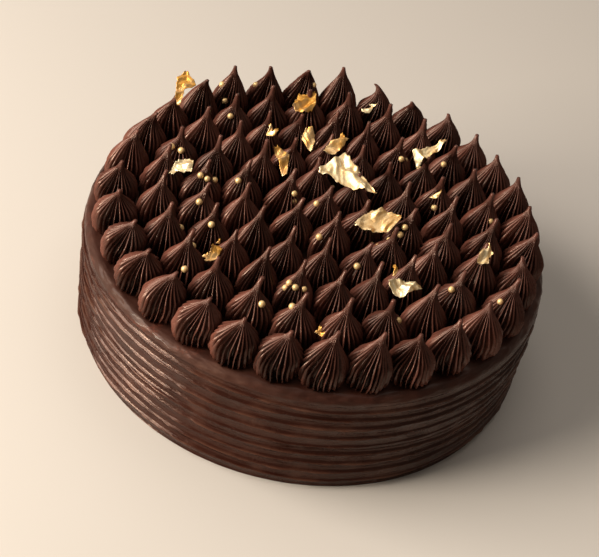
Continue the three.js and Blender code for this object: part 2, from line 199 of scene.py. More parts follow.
def lattice(ix, iy, seed):
    """Whole grid places to fixed numbers from -1 to 1, for arrays."""
    h = ix.astype(np.int64) * 0x9E3779B1 + iy.astype(np.int64) * 0x85EBCA6B + seed * 0xC2B2AE35
    h &= 0xFFFFFFFF
    h = ((h ^ (h >> 15)) * 0x2C1B3C6D) & 0xFFFFFFFF
    h = ((h ^ (h >> 12)) * 0x297A2D39) & 0xFFFFFFFF
    return (h ^ (h >> 15)) / 2147483648.0 - 1


def noise(x, y, seed, around=0):
    """Smooth noise from -1 to 1: lattice numbers blended across each cell by 3t^2 - 2t^3. With
    around, x repeats after that many cells."""
    ix, iy = np.floor(x), np.floor(y)
    tx, ty = x - ix, y - iy
    tx, ty = tx * tx * (3 - 2 * tx), ty * ty * (3 - 2 * ty)
    left, right = (ix % around, (ix + 1) % around) if around else (ix, ix + 1)
    low = lattice(left, iy, seed) * (1 - tx) + lattice(right, iy, seed) * tx
    high = lattice(left, iy + 1, seed) * (1 - tx) + lattice(right, iy + 1, seed) * tx
    return low * (1 - ty) + high * ty


def rough_noise(x, y, seed, around=0, octaves=3):
    """Sum of noises, each twice as fine and half as strong as the one before."""
    total = 0
    for i in range(octaves):
        total = total + noise(x * 2**i, y * 2**i, seed + i, around * 2**i) / 2**i
    return total


# ---- meshes ---------------------------------------------------------------------------------


def grid_faces(rows, columns, closed, start=0):
    """Quads of a grid of rows x columns points; closed joins the last column to the first."""
    i, j = np.meshgrid(
        np.arange(rows - 1), np.arange(columns if closed else columns - 1), indexing="ij"
    )
    k = (j + 1) % columns
    quads = np.stack(
        [i * columns + j, i * columns + k, (i + 1) * columns + k, (i + 1) * columns + j], -1
    )
    return quads.reshape(-1, 4) + start


def cap_faces(row, pole, upward):
    """Triangles from a closed row of points to a pole."""
    following = np.roll(row, -1)
    pole = np.full(len(row), pole)
    first, second = (row, following) if upward else (following, row)
    return np.stack([first, second, pole], -1)


def mesh_piece(name, points, quads, triangles, material, nodes, marks=None):
    """Puts a surface in mm into a mesh in metres, hangs it on the root body and hides the nodes it
    stands for. Marks are numbers kept with its points, for the material."""
    mesh = bpy.data.meshes.new(name)
    corners = np.concatenate([np.ravel(quads), np.ravel(triangles)]).astype(np.int32)
    totals = np.concatenate([np.full(len(quads), 4), np.full(len(triangles), 3)])
    mesh.vertices.add(len(points))
    mesh.vertices.foreach_set("co", (np.asarray(points) * MM).astype(np.float32).ravel())
    mesh.loops.add(len(corners))
    mesh.loops.foreach_set("vertex_index", corners)
    mesh.polygons.add(len(totals))
    mesh.polygons.foreach_set("loop_start", np.concatenate([[0], np.cumsum(totals)[:-1]]))
    mesh.polygons.foreach_set("use_smooth", np.ones(len(totals), bool))
    for mark, values in (marks or {}).items():
        layer = mesh.attributes.new(mark, "FLOAT", "POINT")
        layer.data.foreach_set("value", np.ascontiguousarray(values, np.float32).ravel())
    mesh.materials.append(material)
    mesh.update(calc_edges=True)
    if mesh.validate():
        raise RuntimeError(f"{name}: the surface had broken faces")
    piece = bpy.data.objects.new(name, mesh)
    bpy.context.scene.collection.objects.link(piece)
    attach(piece, "root")
    if nodes:
        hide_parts(*nodes)
    return piece


# ---- materials ------------------------------------------------------------------------------


class Finish:
    """A Principled material and the few nodes that vary it."""

    def __init__(self, name):
        self.material = bpy.data.materials.new(name)
        self.material.use_nodes = True
        self.tree = self.material.node_tree
        self.shader = self.tree.nodes["Principled BSDF"]
        self.place = self.tree.nodes.new("ShaderNodeTexCoord").outputs["Object"]

    def set(self, **values):
        """Constant values, on the shader's own sockets."""
        for socket, value in values.items():
            self.shader.inputs[socket.replace("_", " ")].default_value = value

    def link(self, output, target):
        """Joins an output to a socket."""
        self.tree.links.new(output, target)

    def noise(self, scale, detail=3.0, rough=0.5, stretch=None):
        """Noise of the given cells per metre, stretched along x, y, z if asked."""
        node = self.tree.nodes.new("ShaderNodeTexNoise")
        node.inputs["Scale"].default_value = scale
        node.inputs["Detail"].default_value = detail
        node.inputs["Roughness"].default_value = rough
        source = self.place
        if stretch:
            mapping = self.tree.nodes.new("ShaderNodeMapping")
            mapping.inputs["Scale"].default_value = stretch
            self.link(source, mapping.inputs["Vector"])
            source = mapping.outputs["Vector"]
        self.link(source, node.inputs["Vector"])
        return node.outputs["Fac"]

    def mark(self, name):
        """A number kept with each point of the mesh."""
        node = self.tree.nodes.new("ShaderNodeAttribute")
        node.attribute_name = name
        return node.outputs["Fac"]

    def ramp(self, source, *stops):
        """Colours by a number: (position, colour) pairs."""
        node = self.tree.nodes.new("ShaderNodeValToRGB")
        ramp = node.color_ramp
        while len(ramp.elements) < len(stops):
            ramp.elements.new(0.5)
        for element, (position, colour) in zip(ramp.elements, stops):
            element.position = position
            element.color = (*colour, 1)
        self.link(source, node.inputs["Fac"])
        return node.outputs["Color"]

    def span(self, source, low, high, start=0.3, end=0.7):
        """A number taken from start..end to low..high."""
        node = self.tree.nodes.new("ShaderNodeMapRange")
        for socket, value in zip(("From Min", "From Max", "To Min", "To Max"),
                                 (start, end, low, high)):
            node.inputs[socket].default_value = value
        self.link(source, node.inputs["Value"])
        return node.outputs["Result"]

    def sum(self, first, second):
        """Two numbers added."""
        node = self.tree.nodes.new("ShaderNodeMath")
        node.operation = "ADD"
        self.link(first, node.inputs[0])
        self.link(second, node.inputs[1])
        return node.outputs["Value"]

    def blend(self, share, first, second):
        """Two colours blended by a share from 0 to 1."""
        node = self.tree.nodes.new("ShaderNodeMix")
        node.data_type = "RGBA"
        self.link(share, node.inputs["Factor"])
        self.link(first, node.inputs["A"])
        self.link(second, node.inputs["B"])
        return node.outputs["Result"]

    def bump(self, height, distance, strength=1.0):
        """Small relief from a number, in metres."""
        node = self.tree.nodes.new("ShaderNodeBump")
        node.inputs["Strength"].default_value = strength
        node.inputs["Distance"].default_value = distance
        self.link(height, node.inputs["Height"])
        self.link(node.outputs["Normal"], self.shader.inputs["Normal"])


def scaled(colour, factor):
    """A colour made darker or lighter."""
    return tuple(min(1.0, c * factor) for c in colour)


def coat_finish(look):
    """Combed ganache: dark and glossy, a little mottled, with the ridges painted paler as a
    highlight, with dull dry smears where marked, and fine drag lines round the side."""
    finish = Finish("combed ganache")
    finish.set(
        IOR=1.42, Specular_Tint=(1.0, 0.69, 0.56, 1), Coat_Weight=0.1, Coat_Roughness=0.08,
        Coat_Tint=(1.0, 0.85, 0.72, 1),
    )
    colour = tuple(look.colour)
    # Mottled at random, and paler on the ridges: a painted highlight where the comb's crests catch
    # the light.
    mottle_and_crest_shading = finish.ramp(
        finish.sum(finish.noise(70, 4), finish.span(finish.mark("ridge"), 0, 0.38, 0, 1)),
        (0.3, scaled(colour, 0.7)), (0.55, colour), (0.95, tuple(look.ridge)),
    )
    dry = finish.ramp(
        finish.noise(900, 3, 0.65),
        (0.42, scaled(colour, 1.3)), (0.66, scaled(colour, 4.0)),
    )
    finish.link(finish.blend(finish.mark("dry"), mottle_and_crest_shading, dry), finish.shader.inputs["Base Color"])
    gloss = finish.span(finish.noise(160, 4), look.roughness - 0.04, look.roughness + 0.16)
    finish.link(
        finish.sum(gloss, finish.span(finish.mark("dull"), 0, 0.34, 0, 1)),
        finish.shader.inputs["Roughness"],
    )
    drag = finish.span(finish.noise(130, 3, 0.55, (1, 1, 9)), 0, 9, 0, 1)
    finish.bump(finish.sum(finish.noise(1300, 3, 0.5), drag), 0.00012, 0.3)
    return finish.material


def kiss_finish(look):
    """Piped ganache: satin, with a painted highlight on the ribs' edges and painted shade between
    the ribs, and paler at the tips.
    """
    finish = Finish("piped ganache")
    finish.set(IOR=1.45, Specular_Tint=(1.0, 0.74, 0.62, 1))
    colour = tuple(look.colour)
    # Random tone, plus painted light: crests lighter as a highlight and valleys darker as shade.
    shaded_tone = finish.sum(
        finish.noise(45, 3), finish.span(finish.mark("rib"), -0.26, 0.32, 0.2, 1)
    )
    mottle_and_crest_shading = finish.ramp(
        shaded_tone, (0.2, scaled(colour, 0.3)), (0.5, colour), (0.8, scaled(colour, 2.5))
    )
    warm = finish.ramp(
        finish.noise(300, 3), (0.35, scaled(look.tip, 0.7)), (0.65, scaled(look.tip, 1.2))
    )
    finish.link(finish.blend(finish.mark("tip"), mottle_and_crest_shading, warm), finish.shader.inputs["Base Color"])
    gloss = finish.span(finish.noise(240, 3), look.roughness - 0.07, look.roughness + 0.12)
    finish.link(gloss, finish.shader.inputs["Roughness"])
    finish.bump(finish.noise(1600, 3, 0.6), 0.00008, 0.5)
    return finish.material


def leaf_finish(look):
    """Crumpled gold leaf: bright metal, pale cream where marked, ochre elsewhere. The mark holds
    how pale each scrap is, and painted light and shade on the flanks of its folds and along its
    length.
    """
    finish = Finish("gold leaf")
    finish.set(Metallic=0.7, Specular_Tint=(1.0, 0.9, 0.7, 1))
    shaded_tone = finish.sum(finish.mark("bright"), finish.span(finish.noise(260, 4), -0.2, 0.2))
    finish.link(
        finish.ramp(shaded_tone, (0.0, tuple(look.ochre)), (1.0, tuple(look.cream))),
        finish.shader.inputs["Base Color"],
    )
    finish.link(
        finish.span(finish.noise(700, 3), 0.3, 0.5), finish.shader.inputs["Roughness"]
    )
    finish.bump(finish.noise(900, 4, 0.65), 0.0002, 0.7)
    return finish.material


def pearl_finish(look):
    """Sugar pearls: gold dust on sugar, a soft metal shine with a fine grain."""
    finish = Finish("gold sugar pearls")
    finish.set(Metallic=0.35, Specular_Tint=(1.0, 0.9, 0.7, 1))
    finish.link(
        finish.ramp(
            finish.noise(500, 3),
            (0.3, scaled(look.pearl, 0.8)), (0.7, scaled(look.pearl, 1.15)),
        ),
        finish.shader.inputs["Base Color"],
    )
    finish.link(
        finish.span(finish.noise(1500, 3), 0.26, 0.4), finish.shader.inputs["Roughness"]
    )
    finish.bump(finish.noise(3500, 2), 0.00003, 0.5)
    return finish.material


def floor_finish(look):
    """Pale plain floor, very slightly mottled."""
    finish = Finish("pale floor")
    finish.set(Roughness=0.6)
    colour = tuple(look.floor)
    finish.link(
        finish.ramp(finish.noise(3, 2), (0.3, scaled(colour, 0.985)), (0.7, colour)),
        finish.shader.inputs["Base Color"],
    )
    return finish.material


# ---- the plan of the kisses -----------------------------------------------------------------


def piece_of(ring, i):
    """Which joined piece of its ring a kiss belongs to; a half rounds up, as in the solids."""
    count = RING_COUNTS[ring]
    return math.floor(i * round(count / KISSES_PER_PIECE + 1e-9) / count)


def mean_height(ring, angle):
    """Mean height of the kisses of a ring: in the outer one it rises and falls in waves."""
    if ring > 0:
        return KISS_HEIGHT
    waves = (rise * math.cos(count * (angle - math.radians(crest)))
             for rise, count, crest in OUTER_WAVES)
    return OUTER_KISS_HEIGHT + sum(waves)


def kiss_plan():
    """Place, height and lean of every kiss, ring by ring, by the rules of the solids."""
    rings = []
    for ring, (ring_radius, count) in enumerate(zip(RING_RADII, RING_COUNTS)):
        kisses = []
        for i in range(count):
            small = KISS_SIZE_SPREAD * draw(ring, i, 0)
            side = -1 if draw(ring, i, 1) < 0.5 else 1
            angle = math.radians(RING_PHASES[ring]) + TURN * i / count
            radius = ring_radius + side * small if ring_radius > 0 else 0
            lean = OUTER_LEAN if ring == 0 else INNER_LEAN
            kisses.append({
                "ring": ring,
                "item": i,
                "angle": angle,
                "centre": np.array([
                    RING_MIDDLE[0] + radius * math.cos(angle),
                    RING_MIDDLE[1] + radius * math.sin(angle),
                ]),
                "small": small,
                "half_step": ring_radius * math.sin(math.pi / count),
                "turn": math.pi / SOLID_FINS if count > SOLID_FINS else 0.0,
                "height": mean_height(ring, angle) + KISS_HEIGHT_SPREAD * spread(ring, i, 2),
                "lean": np.array([
                    lean[0] + LEAN_SPREAD * spread(ring, i, 3),
                    lean[1] + LEAN_SPREAD * spread(ring, i, 4),
                ]),
            })
        rings.append(kisses)
    return rings


# Radius of a kiss by height, as a share of the widest: a full body, and above the shoulder a
# plain cone, or a dome that draws out to a thin spike. Above the shoulder the heights stretch
# with the kiss.
KISS_LEVELS = (0.0, 1.2, 3.0, 5.5, 7.5, 9.5, 11.2, 13.1, 15.3, 17.5, 19.6, 21.8, 24.0)
CONE = (0.82, 0.92, 0.98, 1.0, 0.985, 0.925, 0.835, 0.71, 0.56, 0.39, 0.23, 0.13, 0.08)
SPIKE = (0.82, 0.92, 0.98, 1.0, 0.97, 0.9, 0.785, 0.6, 0.375, 0.2, 0.135, 0.11, 0.09)


def smooth_curve(x, knots, values):
    """Curve through knots, each stretch blended by cubics with the slopes of its neighbours."""
    knots, values = np.asarray(knots), np.asarray(values)
    slopes = np.gradient(values, knots)
    i = np.clip(np.searchsorted(knots, x, side="right") - 1, 0, len(knots) - 2)
    width = knots[i + 1] - knots[i]
    t = (x - knots[i]) / width
    return (
        values[i] * (1 + 2 * t) * (1 - t) ** 2
        + slopes[i] * width * t * (1 - t) ** 2
        + values[i + 1] * t * t * (3 - 2 * t)
        + slopes[i + 1] * width * t * t * (t - 1)
    )


def rib_count(kiss, look):
    """Ribs of a kiss: the same for all, give or take one."""
    return look.ribs + int(3 * draw(kiss["ring"], kiss["item"], 13)) - 1


def rib_angle(kiss, look, level, rib):
    """Angle from the outward side at which a rib is at a level: ribs start evenly spaced at the
    foot, swirl with height and wobble a little."""
    ring, item = kiss["ring"], kiss["item"]
    twist = look.twist * (1.4 * draw(ring, item, 12) - 0.4)
    swirl = twist * np.maximum(0, level - 0.12) ** 1.2
    wobble = 0.07 * np.sin(7 * level + 6 * draw(ring, item, 20)) * (1 - level)
    start = TURN * draw(ring, item, 14)
    count = rib_count(kiss, look)
    uneven = 0.17 * noise(rib, 1.6 * level + item, 97 * ring + 5, count)
    return TURN * (rib + uneven) / count + start + swirl + wobble


def kiss_profile(kiss, level):
    """Radius at a level, as a share of the widest: cone and spike, blended by how far the kiss is
    drawn out."""
    drawn = DRAWN_OUT[min(kiss["ring"], 1)]
    drawn = np.clip(drawn + DRAWN_OUT_SPREAD * spread(kiss["ring"], kiss["item"], 15), 0, 1)
    height = level * kiss["height"]
    stretch = (KISS_LEVELS[-1] - SHOULDER_HEIGHT) / (kiss["height"] - SHOULDER_HEIGHT)
    over = np.clip(height - SHOULDER_HEIGHT, 0, None)
    height = height - over + over * stretch
    profile = (1 - drawn) * smooth_curve(height, KISS_LEVELS, CONE)
    return profile + drawn * smooth_curve(height, KISS_LEVELS, SPIKE)


def tip_hook(kiss, look):
    """How far the end of a tip hooks over, in mm, and its heading. In the outer ring the heading
    turns with the ring, and the front ones hook less. The others hook to the right and back in
    the front of the cake, and the other way at its back."""
    ring, item = kiss["ring"], kiss["item"]
    if ring == 0:
        heading = kiss["angle"] + math.radians(OUTER_HOOK_TURN)
        share = 0.6 + 0.4 * math.sin(kiss["angle"])
    else:
        behind = int(kiss["centre"][1] >= HOOK_BACK_FROM)
        heading = math.radians(INNER_HOOK_HEADINGS[behind])
        share = INNER_HOOK_SHARE
    far = look.hook / MM * (0.3 + 1.2 * draw(ring, item, 18) ** 1.5) * share
    return far, heading + HOOK_SWAY * spread(ring, item, 17)


def kiss_point(kiss, look, level, rib):
    """Surface of a kiss at levels 0..1 of its height; rib is a whole number on each crest.

    radius = reach x profile(level) x relief, where relief is 1 on a sharp crest and 1 - depth
    in a round valley, by |sin(pi x rib)| to a power below 1, and fades out where the tip is
    thin. Noise adds low dents and makes the crests uneven. The whole leans by level squared, and
    the end of the tip hooks over and down."""
    ring, item = kiss["ring"], kiss["item"]
    angle = rib_angle(kiss, look, level, rib)
    count = rib_count(kiss, look)
    profile = kiss_profile(kiss, level)
    valley = np.abs(np.sin(math.pi * rib)) ** 0.6
    strength = 1 + 0.3 * noise(rib + 0.5, 2 * level + item, 89 * ring + 9, count)
    fade = np.clip((profile - 0.1) / 0.18, 0, 1) * np.clip(0.72 + level * 3, 0, 1)
    dents = 0.04 * noise(3 * np.cos(angle) + 9, 3 * np.sin(angle) + 6 * level, item + 97 * ring)
    edge = 0.03 * noise(rib, 3 * level + item, 83 * ring + 13, count) * fade
    share = profile * (1 + dents + edge) * (1 - look.rib_depth * valley * fade * strength)

    small = kiss["small"] * SMALL_SHARE
    side_reach = kiss["half_step"] + look.press / MM if kiss["half_step"] else look.reach / MM
    out = (look.reach / MM - small) * share * np.cos(angle)
    across = (side_reach - small) * share * np.sin(angle)
    cos, sin = math.cos(kiss["angle"]), math.sin(kiss["angle"])
    lean = kiss["lean"] * LEAN_SHARE[min(ring, 1)]
    bend = level**2
    hook = np.clip((level - HOOK_LEVEL) / (1 - HOOK_LEVEL), 0, 1) ** 1.6
    far, away = tip_hook(kiss, look)
    x = kiss["centre"][0] + out * cos - across * sin + bend * lean[0] + hook * far * math.cos(away)
    y = kiss["centre"][1] + out * sin + across * cos + bend * lean[1] + hook * far * math.sin(away)
    foot = BODY_HEIGHT - FOOT_SINK
    top = BODY_HEIGHT + GAP + kiss["height"]
    z = foot + level * (top - foot) - hook**2 * far * HOOK_DROP
    return np.stack([x, y, z], -1), valley


def kiss_surface(kiss, look, start):
    """One closed kiss: rows of points from foot to tip, a point under it and one at the tip.
    Each rib has five points across, closer together near its crest, and the rows are closer
    together at the foot and towards the tip. Also marks how near a point is to a crest and to
    the tip."""
    parts = np.array([0, 0.12, 0.34, 0.66, 0.88])
    ribs = (np.arange(rib_count(kiss, look))[:, None] + parts[None]).ravel()
    share = np.linspace(0, 1, look.rows)
    level = 0.45 * share + 0.55 * np.sin(share * math.pi / 2) ** 1.4
    levels, across = np.meshgrid(level, ribs, indexing="ij")
    points, valley = kiss_point(kiss, look, levels, across)
    lowest = points[0].mean(0)
    highest = points[-1].mean(0) + np.array([0, 0, 0.25])
    grid = points.reshape(-1, 3)
    poles = start + len(grid)
    rows = start + np.arange(len(grid)).reshape(levels.shape)
    quads = grid_faces(look.rows, len(ribs), True, start)
    triangles = np.concatenate([
        cap_faces(rows[0], poles, False), cap_faces(rows[-1], poles + 1, True)
    ])
    # How near a point is to a crest, which the material paints into a highlight on the crests and
    # shade in the valleys.
    rib = np.concatenate([1 - valley.ravel(), [0.5, 0.5]])
    tip = np.concatenate([np.clip((levels.ravel() - TIP_LEVEL) / 0.4, 0, 1) ** 1.3, [0, 1]])
    return np.concatenate([grid, [lowest, highest]]), quads, triangles, rib, tip


def pearl_plan(rings, look):
    """Centre of every pearl: on the kiss nearest to where it fell, in the valley between two ribs
    that is nearest to the place of the pearl in the solids."""
    kisses = [kiss for ring in rings for kiss in ring]
    centres = np.array([kiss["centre"] for kiss in kisses])
    step = TURN / SOLID_FINS
    places = []
    for group, (x, y, members) in enumerate(PEARL_GROUPS):
        for i in range(members):
            away = PEARL_SCATTER * math.sqrt(draw(group, i, 7)) if members > 1 else 0
            turn = TURN * (i + 0.6 * draw(group, i, 8)) / members
            place = np.array([x + away * math.cos(turn), y + away * math.sin(turn)])
            kiss = kisses[int(np.argmin(np.hypot(*(centres - place).T)))]
            low, high = PEARL_HEIGHTS
            level = (low + (high - low) * draw(group, i, 9)) / kiss["height"]
            widest = WIDEST_HEIGHT / kiss["height"]
            start = kiss["turn"] + SOLID_TWIST * max(0, level - widest) + step / 2
            dx, dy = place - kiss["centre"]
            side = math.atan2(dy - PEARL_FORWARD, dx) % TURN - kiss["angle"] - start
            angle = start + step * math.floor(side / step + 0.5)
            count = rib_count(kiss, look)
            rib = (angle - rib_angle(kiss, look, level, 0)) / TURN * count
            rib = math.floor(rib) + 0.5
            on, _ = kiss_point(kiss, look, np.array([level]), np.array([rib]))
            ring_round, _ = kiss_point(kiss, look, np.full(count, level), np.arange(count))
            outward = on[0] - ring_round.mean(0)
            outward /= np.linalg.norm(outward)
            places.append(on[0] + outward * PEARL_LIFT + np.array([0, 0, PEARL_LIFT]))
    return places


# ---- the pieces -----------------------------------------------------------------------------


def comb_side(look, angle):
    """The side of the coat, row by row up from its foot: radius, height, turn and how far each
    point is on a ridge.

    height = pitch x s + wander, and radius = body radius - depth x (1 - |2u - 1|^4), where s counts
    the bands from the foot and u is its part between two ridges, plus a thin burr on each ridge.
    Noise round the cake varies the wander, the depth and the burr, and adds low streaks."""
    pitch, depth = look.pitch / MM, look.depth / MM
    side = (np.arange(COMB_BANDS)[:, None] + np.array(BAND_ROWS)[None]).ravel()
    side = np.concatenate([side, COMB_BANDS + np.array(LAST_BAND_ROWS)])
    s, a = np.meshgrid(side, angle, indexing="ij")
    part = a / TURN
    u = s - np.floor(s)
    ends = np.clip(s * 2, 0, 1) * np.clip((COMB_BANDS + 0.8 - s) * 1.5, 0, 1)
    wander = 0.5 * np.sin(3 * a + 0.8 * s) + 0.55 * noise(part * 9, s * 0.7, 3, 9)
    wander += 0.3 * noise(part * 31, s * 0.9 + 5, 4, 31) + 0.12 * noise(part * 90, s, 5, 90)
    z = pitch * s + wander * ends
    bow = 1 - np.abs(2 * u - 1) ** 4
    deep = depth * (0.8 + 0.35 * noise(part * 14, np.floor(s) * 3.7, 6, 14))
    tilt = 0.35 * noise(part * 11, np.floor(s) * 2.9, 16, 11) * (u - 0.5) * bow
    near = np.minimum(u, 1 - u) * pitch
    ridge = np.round(s)
    crest = 0.4 + 0.4 * noise(part * 40, ridge * 5.3, 7, 40)
    crest = crest + 0.35 * noise(part * 150, ridge, 8, 150)
    crest = np.clip(crest, 0, None) * np.exp(-((near / BURR_WIDTH) ** 2)) * np.clip(s * 3, 0, 1)
    streak = 0.11 * rough_noise(part * 12, s * 5.3, 9, 12)
    streak = streak + 0.05 * noise(part * 160, s * 9, 12, 160)
    swell = 0.35 * noise(part * 5, z / 18, 13, 5)
    radius = BODY_RADIUS - FOOT_INSET * np.clip(1 - z / FOOT_ROUND, 0, 1) ** 1.5
    radius = radius - deep * bow + tilt + crest + streak + swell - SIDE_INSET
    z[0] = 0
    # The last value marks the ridges, which the material paints paler as a highlight.
    return radius, z, a, np.clip(1.6 * crest, 0, 1) * np.clip(s * 2 - 0.6, 0, 1)


def coat_shoulder(angle):
    """The shoulder of the coat: a quarter circle, with an edge that noise makes rough."""
    t, a = np.meshgrid(np.linspace(0.08, 1, 12), angle, indexing="ij")
    turn = t * math.pi / 2
    part = a / TURN
    edge = 0.35 * rough_noise(part * 170, t * 4, 21, 170) + 0.3 * noise(part * 40, t * 2, 24, 40)
    radius = BODY_RADIUS - RIM_INSET - SHOULDER * (1 - np.cos(turn)) + edge * np.sin(2 * turn)
    z = BODY_HEIGHT - 0.1 - SHOULDER * (1 - np.sin(turn)) + 0.5 * edge * t
    return radius, z, a, 0 * radius


def coat_top(angle):
    """The top of the coat, from the shoulder in: flat, with low spatula marks near its rim."""
    reach = np.concatenate([np.linspace(0.99, 0.86, 12), np.linspace(0.8, 0.02, 6)])
    q, a = np.meshgrid(reach, angle, indexing="ij")
    radius = (BODY_RADIUS - RIM_INSET - SHOULDER) * q
    smear = 0.3 * rough_noise(a / TURN * 60, radius / 4, 31, 60) * np.clip(q * 2 - 0.8, 0, 1)
    z = np.minimum(BODY_HEIGHT - TOP_SINK + smear, BODY_HEIGHT + 0.25)
    return radius, z, a, 0 * radius


def coat_surface(look):
    """The combed coat as one closed surface, row by row from the foot over the shoulder to the
    middle of the top. It is dry in patches near the shoulder, most at the left, and dull there
    and on the top."""
    angle = np.linspace(0, TURN, look.around, endpoint=False)
    sections = comb_side(look, angle), coat_shoulder(angle), coat_top(angle)
    radius, height, turns, ridge = (np.concatenate(part) for part in zip(*sections))
    points = np.stack([radius * np.cos(turns), radius * np.sin(turns), height], -1)
    patch = noise(turns * 60 / TURN, height / 2.2, 41, 60)
    patch = patch + 0.6 * noise(turns * 200 / TURN, height, 42, 200)
    from_left = np.mod(turns - math.radians(SMEAR_HEADING) + math.pi, TURN) - math.pi
    left = np.exp(-((from_left / 0.4) ** 2))
    dry = np.clip((patch - 0.1) * 2, 0, 1) * np.clip((height - 49) / 3, 0, 1)
    dry = dry * (0.15 + 0.85 * left) * np.clip((radius - 90) / 4, 0, 1)
    dull = np.clip(np.maximum(dry, (height - 48.5) / 3), 0, 1)
    return points, {"dry": dry, "dull": dull, "ridge": ridge}


class KissSettings(bpy.types.PropertyGroup):
    """Piped kisses."""

    ribs: IntProperty(name="Ribs", description="Ribs round a kiss", default=23, min=6)
    rows: IntProperty(name="Rows", description="Rows of points in a kiss", default=34, min=12)
    reach: FloatProperty(
        name="Radius", description="Middle of a kiss to a rib, towards the next ring",
        default=0.0098, unit="LENGTH",
    )
    press: FloatProperty(
        name="Press", description="How far a kiss goes past halfway to the next in its ring",
        default=0.0007, unit="LENGTH",
    )
    rib_depth: FloatProperty(
        name="Rib depth", description="Valley between ribs, as a share of the radius",
        default=0.38, subtype="FACTOR",
    )
    twist: FloatProperty(
        name="Twist", description="Turn of the ribs from foot to tip", default=0.45,
        subtype="ANGLE",
    )
    hook: FloatProperty(
        name="Hook", description="How far a tip bends over", default=0.0036, unit="LENGTH"
    )
    colour: FloatVectorProperty(
        name="Colour", description="Ganache of the kisses", subtype="COLOR",
        default=(0.056, 0.0198, 0.0135),
    )
    tip: FloatVectorProperty(
        name="Tip colour", description="Ganache towards the tips", subtype="COLOR",
        default=(0.095, 0.0345, 0.0245),
    )
    roughness: FloatProperty(
        name="Roughness", description="Lower is glossier", default=0.24, subtype="FACTOR"
    )


class CoatSettings(bpy.types.PropertyGroup):
    """Combed coat."""

    pitch: FloatProperty(
        name="Ridge spacing", description="Between two ridges of the comb", default=0.0052,
        unit="LENGTH",
    )
    depth: FloatProperty(
        name="Ridge depth", description="Depth of the bands between ridges", default=0.0012,
        unit="LENGTH",
    )
    around: IntProperty(name="Points round", description="Points in a row", default=464)
    colour: FloatVectorProperty(
        name="Colour", description="Ganache of the coat", subtype="COLOR",
        default=(0.029, 0.0075, 0.0044),
    )
    # Colour of the painted highlight on the comb ridges.
    ridge: FloatVectorProperty(
        name="Ridge colour", description="Painted highlight on the comb ridges", subtype="COLOR",
        default=(0.085, 0.036, 0.023),
    )
    roughness: FloatProperty(
        name="Roughness", description="Lower is glossier", default=0.15, subtype="FACTOR"
    )


class GoldSettings(bpy.types.PropertyGroup):
    """Gold leaf and sugar pearls."""

    pearl_radius: FloatProperty(
        name="Pearl radius", description="Radius of a sugar pearl", default=0.00155,
        unit="LENGTH",
    )
    foil: FloatProperty(
        name="Foil thickness", description="Thickness of the leaf as modelled",
        default=0.00012, unit="LENGTH",
    )
    cream: FloatVectorProperty(
        name="Cream", description="Brightest gold", subtype="COLOR", default=(0.94, 0.78, 0.49)
    )
    ochre: FloatVectorProperty(
        name="Ochre", description="Deepest gold", subtype="COLOR", default=(0.72, 0.36, 0.07)
    )
    pearl: FloatVectorProperty(
        name="Pearl", description="Gold of the pearls", subtype="COLOR",
        default=(0.88, 0.6, 0.28),
    )


class StageSettings(bpy.types.PropertyGroup):
    """Floor, lights and camera."""

    floor: FloatVectorProperty(
        name="Floor", description="Colour of the floor", subtype="COLOR",
        default=(0.62, 0.585, 0.54),
    )
    key: FloatProperty(name="Key", description="Window light", default=21.0, unit="POWER")
    low: FloatProperty(
        name="Low key", description="Warm light that grazes the side", default=11.0, unit="POWER"
    )
    fill: FloatProperty(name="Fill", description="Soft light from above", default=4.5,
                        unit="POWER")
    sky: FloatProperty(name="Sky", description="Light from all round", default=0.15)
    lens: FloatProperty(name="Lens", description="Focal length in mm", default=84.3)


def need(name):
    """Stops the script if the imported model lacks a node."""
    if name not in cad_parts:
        raise RuntimeError(f"the packed model has no {name}")
    return name


class CAKE_OT_comb_coat(bpy.types.Operator):
    """Spread the ganache coat and draw the comb round its side"""

    bl_idname = "cake.comb_coat"
    bl_label = "Comb the Coat"

    def execute(self, context):
        look = context.scene.cake_coat
        points, marks = coat_surface(look)
        rows, around = marks["dry"].shape
        count = rows * around
        index = np.arange(count).reshape(rows, around)
        quads = grid_faces(rows, around, True)
        triangles = np.concatenate([
            cap_faces(index[0], count, False), cap_faces(index[-1], count + 1, True)
        ])
        poles = [[0, 0, 0], [0, 0, BODY_HEIGHT - TOP_SINK]]
        mesh_piece(
            "combed_coat", np.concatenate([points.reshape(-1, 3), poles]), quads, triangles,
            coat_finish(look), [need("cake_body")],
            {name: np.concatenate([mark.ravel(), [0, 0]]) for name, mark in marks.items()},
        )
        return {"FINISHED"}


class CAKE_OT_pipe_kisses(bpy.types.Operator):
    """Pipe the ribbed kisses, ring by ring"""

    bl_idname = "cake.pipe_kisses"
    bl_label = "Pipe the Kisses"

    def execute(self, context):
        look = context.scene.cake_kisses
        material = kiss_finish(look)
        rings = kiss_plan()
        nodes = {"kisses_middle": [kiss for ring in rings[-2:] for kiss in ring]}
        for ring, kisses in enumerate(rings[:-2]):
            for i, kiss in enumerate(kisses):
                name = f"kisses_ring_{ring + 1}_{piece_of(ring, i) + 1}"
                nodes.setdefault(name, []).append(kiss)
        for name, kisses in nodes.items():
            parts, start = [], 0
            for kiss in kisses:
                parts.append(kiss_surface(kiss, look, start))
                start += len(parts[-1][0])
            points, quads, triangles, rib, tip = (np.concatenate(part) for part in zip(*parts))
            mesh_piece(
                f"piped_{name}", points, quads, triangles, material, [need(name)],
                {"rib": rib, "tip": tip},
            )
        return {"FINISHED"}


